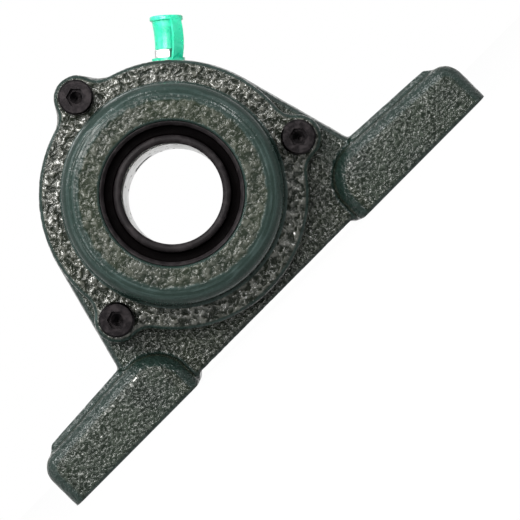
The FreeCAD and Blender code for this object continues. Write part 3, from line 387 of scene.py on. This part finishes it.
def housing_skin(spot):
    """How rough a point of the housing is, 0 where it is smooth, and its enamel's thickness and
    painted edge sheen.
    """
    pad = abs(spot.x) > PAD_START and spot.z > pad_height(spot.x) and abs(spot.y) < PAD_HALF_WIDTH
    if pad:
        return PAD_SKIN, 1.0
    inside = math.hypot(spot.x, spot.z) < BORE_RADIUS
    under = spot.z < cad_box[0][2] + UNDERSIDE_DEPTH
    slot = abs(abs(spot.x) - SLOT_CENTRE) < SLOT_REACH and abs(spot.y) < SLOT_HALF_WIDTH
    along = spot.x * math.cos(SPOT_FACE_ANGLE) + spot.z * math.sin(SPOT_FACE_ANGLE)
    aside = spot.z * math.cos(SPOT_FACE_ANGLE) - spot.x * math.sin(SPOT_FACE_ANGLE)
    faced = SPOT_FACE_START < along < SPOT_FACE_HEIGHT and math.hypot(aside, spot.y) < SPOT_FACE_RADIUS
    if inside or under or slot or faced:
        return 0.0, 1.0
    cloud = smooth_step(-FOOT_CLOUD_EDGE, FOOT_CLOUD_EDGE, noise.noise(spot / FOOT_CLOUD))
    on_foot = smooth_step(WEB_END, FOOT_START, abs(spot.x))
    return 1.0 - on_foot * FOOT_CALM * (1 - cloud), on_foot * FOOT_THICK_AND_SHEEN


enamel = casting_enamel()
housing = remeshed_copy("housing", "housing_casting", HOUSING_GRID)
roughen(housing, housing_skin, HOUSING_EDGE_CALM, coarse=0.0)
housing.data.materials.append(enamel)
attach(housing, "housing_unit")
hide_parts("housing")

# Dust covers. Two iron castings with three bolting lugs, a flat flange and a round-shouldered
# nose; the same enamel, on a coarser skin than the housing's. Each is held by three screws.
COVER_GRID = 0.00040
REAR_COVER_GRID = 0.00050
COVER_EDGE_CALM = 0.8
COVER_FACE = 0.0131
COVER_CAVITY = 0.0231
COVER_HOLE = 0.0178
COVER_ROOF = 0.0290
NOSE_SKIN = 0.5
NOSE_START = 0.0214
NOSE_END = 0.0231
NOSE_RAGGED = 0.0006
NOSE_CLOUD = 0.0015


def cover_skin(spot):
    """How rough a point of a cover is, 0 inside it and less on the nose than on the flange, and its
    enamel's thickness and painted edge sheen."""
    radius = math.hypot(spot.x, spot.z)
    reach = abs(spot.y)
    if radius < COVER_HOLE or reach < COVER_FACE or (radius < COVER_CAVITY and reach < COVER_ROOF):
        return 0.0, 1.0
    if reach > COVER_ROOF:
        ragged = radius + NOSE_RAGGED * noise.noise(spot / NOSE_CLOUD)
        # The nose's shoulder is calmer and takes the edge colour of painted shade and sheen.
        worn = smooth_step(NOSE_START, NOSE_END, ragged)
        return NOSE_SKIN * (1 - worn), worn
    return 1.0, 0.0


for side, grid in (("front", COVER_GRID), ("rear", REAR_COVER_GRID)):
    cover = remeshed_copy("cover_" + side, f"cover_{side}_casting", grid)
    roughen(cover, cover_skin, COVER_EDGE_CALM, coarse=1.0)
    cover.data.materials.append(enamel)
    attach(cover, "housing_unit")
    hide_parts("cover_" + side)

# Shaft seals. Moulded black rubber, pressed into the hole of each cover: a case, a deep open
# groove and a round lip. With no shaft in it the front lip lies a little closed.
RUBBER = (0.0068, 0.0058, 0.0063, 1.0)
RUBBER_DUSTY = (0.017, 0.0147, 0.0155, 1.0)
# Near-black colour of the seal's deep groove: painted shade.
GROOVE_PAINTED_SHADE = (0.0009, 0.0006, 0.0007, 1.0)
RUBBER_ROUGHNESS = (0.36, 0.55)
BLOOM_PER_METRE = 420.0
BLOOM_EDGE = (0.40, 0.75)
BLOOM_BEND = 0.4
RUBBER_LINES_PER_METRE = 5200.0
RUBBER_LINE_STRENGTH = 0.5
RUBBER_LINE_DEPTH = 0.00002
SEAL_SHEEN = 0.06
GROOVE_SHEEN = 0.01
SEAL_STEPS = 160
GROOVE_INSIDE = 0.01398
GROOVE_OUTSIDE = 0.01622
FRONT_LIP = 0.01196
REAR_LIP = 0.01315
LIP_OUTSIDE = 0.01392
LIP_MIDDLE_REACH = 0.0329
LIP_RISE = 0.0011
LIP_POINTS = 9
SEAL_CORNER = 0.00009
SHARP_CORNER = math.radians(30)


def new_group(name, takes, gives):
    """An empty node group with named inputs and outputs, each given with its kind."""
    group = bpy.data.node_groups.new(name, "ShaderNodeTree")
    for in_out, sockets in (("INPUT", takes), ("OUTPUT", gives)):
        for label, kind in sockets.items():
            group.interface.new_socket(name=label, in_out=in_out, socket_type="NodeSocket" + kind)
    return group, group.nodes.new("NodeGroupInput"), group.nodes.new("NodeGroupOutput")


def skinned_material(name, group, values, strength, depth, plain_colour=None):
    """A material that takes its roughness, its fine relief and, where it isn't plain, its colour
    from a group with the material's own values."""
    material, tree, shader = new_material(name)
    skin = tree.nodes.new("ShaderNodeGroup")
    skin.node_tree = group
    for label, value in values.items():
        skin.inputs[label].default_value = value
    feed(tree, shader.inputs["Base Color"], plain_colour or skin.outputs["Colour"])
    feed(tree, shader.inputs["Roughness"], skin.outputs["Roughness"])
    feed(tree, shader.inputs["Normal"], bumped(tree, skin.outputs["Height"], strength, depth))
    return material, shader


def rubber_skin_group():
    """The skin of moulded rubber: a faint dusty bloom and fine turned lines."""
    takes = {"Colour": "Color", "Dusty": "Color"}
    gives = {"Colour": "Color", "Roughness": "Float", "Height": "Float"}
    group, entry, leave = new_group("rubber skin", takes, gives)
    place = object_place(group)
    bloom = noise_node(group, place, BLOOM_PER_METRE, 3.0, BLOOM_BEND)
    share = mapped(group, bloom, *BLOOM_EDGE, "SMOOTHSTEP")
    colour = mixed(group, share, entry.outputs["Colour"], entry.outputs["Dusty"])
    feed(group, leave.inputs["Colour"], colour)
    feed(group, leave.inputs["Roughness"], spread(group, bloom, *RUBBER_ROUGHNESS))
    feed(group, leave.inputs["Height"], noise_node(group, place, RUBBER_LINES_PER_METRE))
    return group


rubber_skin = rubber_skin_group()


def rubber(name, sheen, colour=None, dusty=None, plain_colour=None):
    """Moulded rubber, nearly black, with a dusty bloom or in one plain colour; sheen is how
    strongly it reflects."""
    values = {} if plain_colour else {"Colour": colour, "Dusty": dusty}
    material, shader = skinned_material(
        name, rubber_skin, values, RUBBER_LINE_STRENGTH, RUBBER_LINE_DEPTH, plain_colour)
    shader.inputs["Specular IOR Level"].default_value = sheen
    return material


def turned(name, outline, steps):
    """A closed ring: an outline of (radius, distance along Y), spun once round the bore."""
    shape = bmesh.new()
    corners = [shape.verts.new((radius, along, 0)) for radius, along in outline]
    edges = [shape.edges.new((a, b)) for a, b in zip(corners, corners[1:] + corners[:1])]
    bmesh.ops.spin(shape, geom=corners + edges, cent=(0, 0, 0), axis=(0, 1, 0), angle=2 * math.pi,
                   steps=steps, use_merge=True)
    bmesh.ops.remove_doubles(shape, verts=shape.verts, dist=SAME_POINT)
    bmesh.ops.recalc_face_normals(shape, faces=shape.faces)
    mesh = bpy.data.meshes.new(name)
    shape.to_mesh(mesh)
    shape.free()
    return link_piece(name, mesh)


def seal_outline(lip, outward):
    """The seal's section, from the back of its case over its face, down into the groove, over the
    round lip and back. Outward is -1 for the front cover and 1 for the rear one."""
    middle = (LIP_OUTSIDE + lip) / 2
    half = (LIP_OUTSIDE - lip) / 2
    crown = []
    for step in range(LIP_POINTS):
        turn = math.pi * step / (LIP_POINTS - 1)
        crown.append((middle + half * math.cos(turn), LIP_MIDDLE_REACH + LIP_RISE * math.sin(turn)))
    section = [
        (0.01718, 0.0295), (0.01718, 0.0345), (0.01708, 0.03462), (0.01686, 0.03462),
        (0.01636, 0.0340), (0.01618, 0.0336), (0.01606, 0.0308), (0.01425, 0.0308),
        *crown, (lip + 0.0003, 0.0322), (0.01330, 0.0306), (0.01360, 0.0295),
    ]
    return [(radius, reach * outward) for radius, reach in section]


seal_rubber = rubber("shaft_seal_rubber", SEAL_SHEEN, RUBBER, RUBBER_DUSTY)
# The groove's rubber, near black and barely reflecting: painted shade.
groove_shade_rubber = rubber("seal_groove_painted_shade", GROOVE_SHEEN, plain_colour=GROOVE_PAINTED_SHADE)
for side, outward, lip in (("front", -1, FRONT_LIP), ("rear", 1, REAR_LIP)):
    seal = turned(f"shaft_seal_{side}", seal_outline(lip, outward), SEAL_STEPS)
    rounded = seal.modifiers.new("soft corners", "BEVEL")
    rounded.width = SEAL_CORNER
    rounded.segments = 2
    rounded.limit_method = "ANGLE"
    rounded.angle_limit = SHARP_CORNER
    seal.data.shade_smooth()
    seal.data.materials.append(seal_rubber)
    seal.data.materials.append(groove_shade_rubber)
    # Faces in the groove take the painted shade rubber.
    for face in seal.data.polygons:
        radius = math.hypot(face.center.x, face.center.z)
        face.material_index = 1 if GROOVE_INSIDE < radius < GROOVE_OUTSIDE else 0
    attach(seal, "housing_unit")
    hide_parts("cover_seal_" + side)

# Cover screws. Socket head cap screws of heat-blackened steel with a smooth oily oxide skin and
# a faint turned grain on the head; screwed through the flange into the housing.
WORN_CLOUDS_PER_METRE = 600.0
WORN_EDGE = (0.42, 0.72)
WORN_SHARE = 0.8
WORN_BEND = 0.5
MARK_STRENGTH = 0.6


def steel_skin_group():
    """The skin of steel: clouds of wear and turned or drawn marks."""
    takes = {"Colour": "Color", "Worn": "Color", "Smoothest": "Float", "Roughest": "Float",
             "Marks per metre": "Float"}
    gives = {"Colour": "Color", "Roughness": "Float", "Height": "Float"}
    group, entry, leave = new_group("steel skin", takes, gives)
    place = object_place(group)
    cloud = noise_node(group, place, WORN_CLOUDS_PER_METRE, 4.0, WORN_BEND)
    share = mapped(group, cloud, *WORN_EDGE, "SMOOTHSTEP", to_high=WORN_SHARE)
    colour = mixed(group, share, entry.outputs["Colour"], entry.outputs["Worn"])
    roughness = spread(group, cloud, entry.outputs["Smoothest"], entry.outputs["Roughest"])
    feed(group, leave.inputs["Colour"], colour)
    feed(group, leave.inputs["Roughness"], roughness)
    feed(group, leave.inputs["Height"], noise_node(group, place, entry.outputs["Marks per metre"]))
    return group


steel_skin = steel_skin_group()


def steel(name, colour, worn, smoothest, roughest, marks_per_metre, mark_depth):
    """Bare, plated or blackened steel."""
    values = {"Colour": colour, "Worn": worn, "Smoothest": smoothest, "Roughest": roughest,
              "Marks per metre": marks_per_metre}
    material, shader = skinned_material(name, steel_skin, values, MARK_STRENGTH, mark_depth)
    shader.inputs["Metallic"].default_value = 1.0
    return material


def finish_nodes(material, *names):
    """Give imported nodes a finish."""
    for name in names:
        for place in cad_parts[name].material_slots:
            place.material = material


black_oxide = steel(
    "black_oxide_steel", colour=(0.006, 0.0054, 0.0058, 1.0), worn=(0.020, 0.0175, 0.0185, 1.0),
    smoothest=0.30, roughest=0.5, marks_per_metre=3800.0, mark_depth=0.000012)
finish_nodes(black_oxide, "front_cover_bolts", "rear_cover_bolts", "set_screws")

# Insert bearing. Bearing steel rings, nine balls in a pressed ribbon cage, rubber rim seals and
# pressed flingers; the inner ring's ground bore is speckled with old stain.
BALL_COUNT = 9
RIM_SHEEN = 0.3
BORE_STEEL = (0.80, 0.80, 0.79, 1.0)
BORE_STEEL_DULL = (0.66, 0.66, 0.65, 1.0)
BORE_STAIN = (0.05, 0.045, 0.04, 1.0)
BORE_ROUGHNESS = (0.30, 0.45)
BORE_CLOUDS_PER_METRE = 380.0
DULL_EDGE = (0.35, 0.7)
STAIN_METALLIC = 0.2
STAIN_DEPTH = 0.00002
SPECKS_PER_METRE = 620.0
SPECK_STRETCH = (1.0, 0.16, 1.0)
SPECK_RAGGED = 0.25
SPECK_RAGS_PER_METRE = 3000.0
SPECK_EDGE = (0.30, 0.36)
PATCHES_PER_METRE = 260.0
PATCH_EDGE = (0.40, 0.50)

ring_steel = steel(
    "ground_ring_steel", colour=(0.62, 0.61, 0.60, 1.0), worn=(0.52, 0.50, 0.48, 1.0),
    smoothest=0.22, roughest=0.36, marks_per_metre=4200.0, mark_depth=0.000006)
ball_steel = steel(
    "polished_ball_steel", colour=(0.78, 0.78, 0.79, 1.0), worn=(0.74, 0.74, 0.75, 1.0),
    smoothest=0.05, roughest=0.10, marks_per_metre=900.0, mark_depth=0.000001)
pressed_steel = steel(
    "pressed_cage_steel", colour=(0.48, 0.47, 0.45, 1.0), worn=(0.36, 0.35, 0.33, 1.0),
    smoothest=0.30, roughest=0.5, marks_per_metre=2600.0, mark_depth=0.00001)
rim_rubber = rubber("rim_seal_rubber", RIM_SHEEN, RUBBER, RUBBER_DUSTY)


def speckled_bore_steel():
    """Ground steel with small dark specks of stain in it, drawn out along the bore."""
    material, tree, shader = new_material("speckled_bore_steel")
    place = object_place(tree)
    cloud = noise_node(tree, place, BORE_CLOUDS_PER_METRE, detail=3.0)
    dull = mapped(tree, cloud, *DULL_EDGE, "SMOOTHSTEP")
    base = mixed(tree, dull, BORE_STEEL, BORE_STEEL_DULL)
    stretched = tree.nodes.new("ShaderNodeMapping")
    stretched.inputs["Scale"].default_value = SPECK_STRETCH
    feed(tree, stretched.inputs["Vector"], place)
    cells = tree.nodes.new("ShaderNodeTexVoronoi")
    cells.inputs["Scale"].default_value = SPECKS_PER_METRE
    feed(tree, cells.inputs["Vector"], stretched.outputs["Vector"])
    ragged = noise_node(tree, place, SPECK_RAGS_PER_METRE)
    reach = math_node(tree, "MULTIPLY_ADD", ragged, SPECK_RAGGED, cells.outputs["Distance"])
    speck = mapped(tree, reach, *SPECK_EDGE, "SMOOTHSTEP", to_low=1.0, to_high=0.0)
    patch = mapped(tree, noise_node(tree, place, PATCHES_PER_METRE), *PATCH_EDGE)
    speck = math_node(tree, "MULTIPLY", speck, patch)
    feed(tree, shader.inputs["Base Color"], mixed(tree, speck, base, BORE_STAIN))
    metal = mapped(tree, speck, 0.0, 1.0, to_low=1.0, to_high=STAIN_METALLIC)
    feed(tree, shader.inputs["Metallic"], metal)
    feed(tree, shader.inputs["Roughness"], spread(tree, cloud, *BORE_ROUGHNESS))
    bump = tree.nodes.new("ShaderNodeBump")
    bump.invert = True
    bump.inputs["Distance"].default_value = STAIN_DEPTH
    feed(tree, bump.inputs["Height"], speck)
    feed(tree, shader.inputs["Normal"], bump.outputs["Normal"])
    return material


finish_nodes(speckled_bore_steel(), "inner_ring")
finish_nodes(ring_steel, "outer_ring", "slinger_front", "slinger_rear")
finish_nodes(pressed_steel, "cage_half_front", "cage_half_rear", "cage_rivets")
finish_nodes(ball_steel, *[f"ball_{number}" for number in range(1, BALL_COUNT + 1)])
finish_nodes(rim_rubber, "bearing_seal_front", "bearing_seal_rear")

# Grease nipple. Turned steel with a bright zinc plate, screwed into the head; a ball and a small
# spring close its mouth. A green plastic cap with its strap and ring is moulded in one.
CAP_GREEN = (0.006, 0.62, 0.36, 1.0)
CAP_GREEN_PALE = (0.050, 0.70, 0.46, 1.0)
CAP_ROUGHNESS = (0.22, 0.38)
CAP_IOR = 1.48
CAP_TRANSMISSION = 0.45
FLOW_PER_METRE = 330.0
FLOW_EDGE = (0.35, 0.7)
FLOW_BEND = 0.8
CAP_GRAIN_PER_METRE = 1500.0
CAP_GRAIN_STRENGTH = 0.4
CAP_GRAIN_DEPTH = 0.000015

plated_steel = steel(
    "zinc_plated_steel", colour=(0.44, 0.44, 0.44, 1.0), worn=(0.36, 0.36, 0.36, 1.0),
    smoothest=0.3, roughest=0.42, marks_per_metre=3000.0, mark_depth=0.000004)
spring_steel = steel(
    "spring_wire_steel", colour=(0.5, 0.5, 0.5, 1.0), worn=(0.4, 0.4, 0.4, 1.0),
    smoothest=0.25, roughest=0.35, marks_per_metre=2500.0, mark_depth=0.000003)


def cap_plastic():
    """Soft translucent green plastic with flow marks and a satin skin."""
    material, tree, shader = new_material("cap_plastic")
    place = object_place(tree)
    flow = noise_node(tree, place, FLOW_PER_METRE, 3.0, FLOW_BEND)
    share = mapped(tree, flow, *FLOW_EDGE, "SMOOTHSTEP")
    feed(tree, shader.inputs["Base Color"], mixed(tree, share, CAP_GREEN, CAP_GREEN_PALE))
    feed(tree, shader.inputs["Roughness"], spread(tree, flow, *CAP_ROUGHNESS))
    shader.inputs["IOR"].default_value = CAP_IOR
    shader.inputs["Transmission Weight"].default_value = CAP_TRANSMISSION
    grain = noise_node(tree, place, CAP_GRAIN_PER_METRE)
    feed(tree, shader.inputs["Normal"], bumped(tree, grain, CAP_GRAIN_STRENGTH, CAP_GRAIN_DEPTH))
    return material


finish_nodes(plated_steel, "grease_nipple")
finish_nodes(spring_steel, "nipple_spring")
finish_nodes(ball_steel, "nipple_ball")
finish_nodes(cap_plastic(), "nipple_cap")

# Studio. A white floor under the feet, white surroundings, and soft lamps above, in front, at both
# sides and behind.
FLOOR_REACH = 2.0
FLOOR_GAP = 0.00005
FLOOR_GREY = (0.4, 0.4, 0.4, 1.0)
FLOOR_ROUGHNESS = 0.9
FLOOR_SHADE = 0.02
PLAIN_WHITE = (1.0, 1.0, 1.0, 1.0)
WORLD_GREY = (0.22, 0.23, 0.23, 1.0)
WARM_WHITE = (1.0, 0.98, 0.95)
NEUTRAL_WHITE = (1.0, 1.0, 1.0)


def white_where_seen(tree, shade, white_kind, whiteness):
    """Plain white for the camera and for reflections, and the given shade for all other light."""
    path = tree.nodes.new("ShaderNodeLightPath")
    seen = math_node(tree, "MAXIMUM", path.outputs["Is Camera Ray"], path.outputs["Is Glossy Ray"])
    seen = math_node(tree, "MAXIMUM", seen, path.outputs["Is Transmission Ray"])
    white = tree.nodes.new(white_kind)
    white.inputs["Color"].default_value = PLAIN_WHITE
    blend = tree.nodes.new("ShaderNodeMixShader")
    feed(tree, blend.inputs["Fac"], math_node(tree, "MULTIPLY", seen, whiteness))
    feed(tree, blend.inputs[1], shade)
    feed(tree, blend.inputs[2], white.outputs[0])
    return blend.outputs["Shader"]


floor_mesh = bpy.data.meshes.new("floor")
floor_shape = bmesh.new()
bmesh.ops.create_grid(floor_shape, x_segments=1, y_segments=1, size=FLOOR_REACH)
bmesh.ops.translate(floor_shape, verts=floor_shape.verts, vec=(0, 0, cad_box[0][2] - FLOOR_GAP))
floor_shape.to_mesh(floor_mesh)
floor_shape.free()
floor = link_piece("floor", floor_mesh)
floor_white, tree, shader = new_material("floor_white")
shader.inputs["Base Color"].default_value = FLOOR_GREY
shader.inputs["Roughness"].default_value = FLOOR_ROUGHNESS
surface = white_where_seen(tree, shader.outputs["BSDF"], "ShaderNodeEmission", 1 - FLOOR_SHADE)
feed(tree, tree.nodes["Material Output"].inputs["Surface"], surface)
floor.data.materials.append(floor_white)

scene = bpy.context.scene
scene.view_settings.view_transform = "Standard"
scene.world = bpy.data.worlds.new("studio")
scene.world.use_nodes = True
tree = scene.world.node_tree
background = tree.nodes["Background"]
background.inputs["Color"].default_value = WORLD_GREY
surface = white_where_seen(tree, background.outputs["Background"], "ShaderNodeBackground", 1.0)
feed(tree, tree.nodes["World Output"].inputs["Surface"], surface)


def softbox(name, spot, width, height, radiance, tint=NEUTRAL_WHITE):
    """A soft lamp that faces the unit; radiance is how bright its face is."""
    lamp = bpy.data.lights.new(name, "AREA")
    lamp.shape = "RECTANGLE"
    lamp.size = width
    lamp.size_y = height
    lamp.energy = radiance * math.pi * width * height
    lamp.color = tint
    holder = bpy.data.objects.new(name, lamp)
    holder.location = spot
    holder.rotation_euler = (-Vector(spot)).to_track_quat("-Z", "Y").to_euler()
    scene.collection.objects.link(holder)


softbox("key_softbox", (-0.06, -0.42, 0.27), 0.13, 0.13, 42.0, WARM_WHITE)
softbox("left_front_softbox", (-0.40, -0.62, 0.10), 0.13, 0.10, 28.0)
softbox("right_front_softbox", (0.40, -0.62, 0.10), 0.13, 0.10, 42.0)
softbox("front_softbox", (-0.03, -0.85, 0.20), 0.20, 0.16, 26.0, WARM_WHITE)
softbox("sheen_softbox", (-0.065, -0.85, 0.11), 0.14, 0.12, 7.0)
softbox("top_strip", (-0.08, -0.36, 0.85), 1.2, 0.05, 60.0)
softbox("right_softbox", (0.9, -0.35, 0.25), 0.35, 0.35, 3.0)
softbox("left_softbox", (-0.9, -0.3, 0.3), 0.35, 0.35, 4.0)
softbox("back_softbox", (0.0, 0.9, 0.7), 0.5, 0.5, 3.0)

# Camera. It looks level along the bore and is rolled, as in the photograph.
CAMERA_SPOT = Vector((0.0035, -0.759, -0.0258))
CAMERA_ROLL = math.radians(45.18)
CAMERA_LENS = 212.5
CAMERA_SENSOR = 36.0
CAMERA_NEAR = 0.01
camera_data = bpy.data.cameras.new("camera")
camera_data.lens = CAMERA_LENS
camera_data.sensor_width = CAMERA_SENSOR
camera_data.clip_start = CAMERA_NEAR
camera = bpy.data.objects.new("camera", camera_data)
across = Vector((math.cos(CAMERA_ROLL), 0, -math.sin(CAMERA_ROLL)))
upward = Vector((math.sin(CAMERA_ROLL), 0, math.cos(CAMERA_ROLL)))
turn = Matrix((across, upward, Vector((0, -1, 0)))).transposed()
camera.matrix_world = Matrix.Translation(CAMERA_SPOT) @ turn.to_4x4()
scene.collection.objects.link(camera)
scene.camera = camera
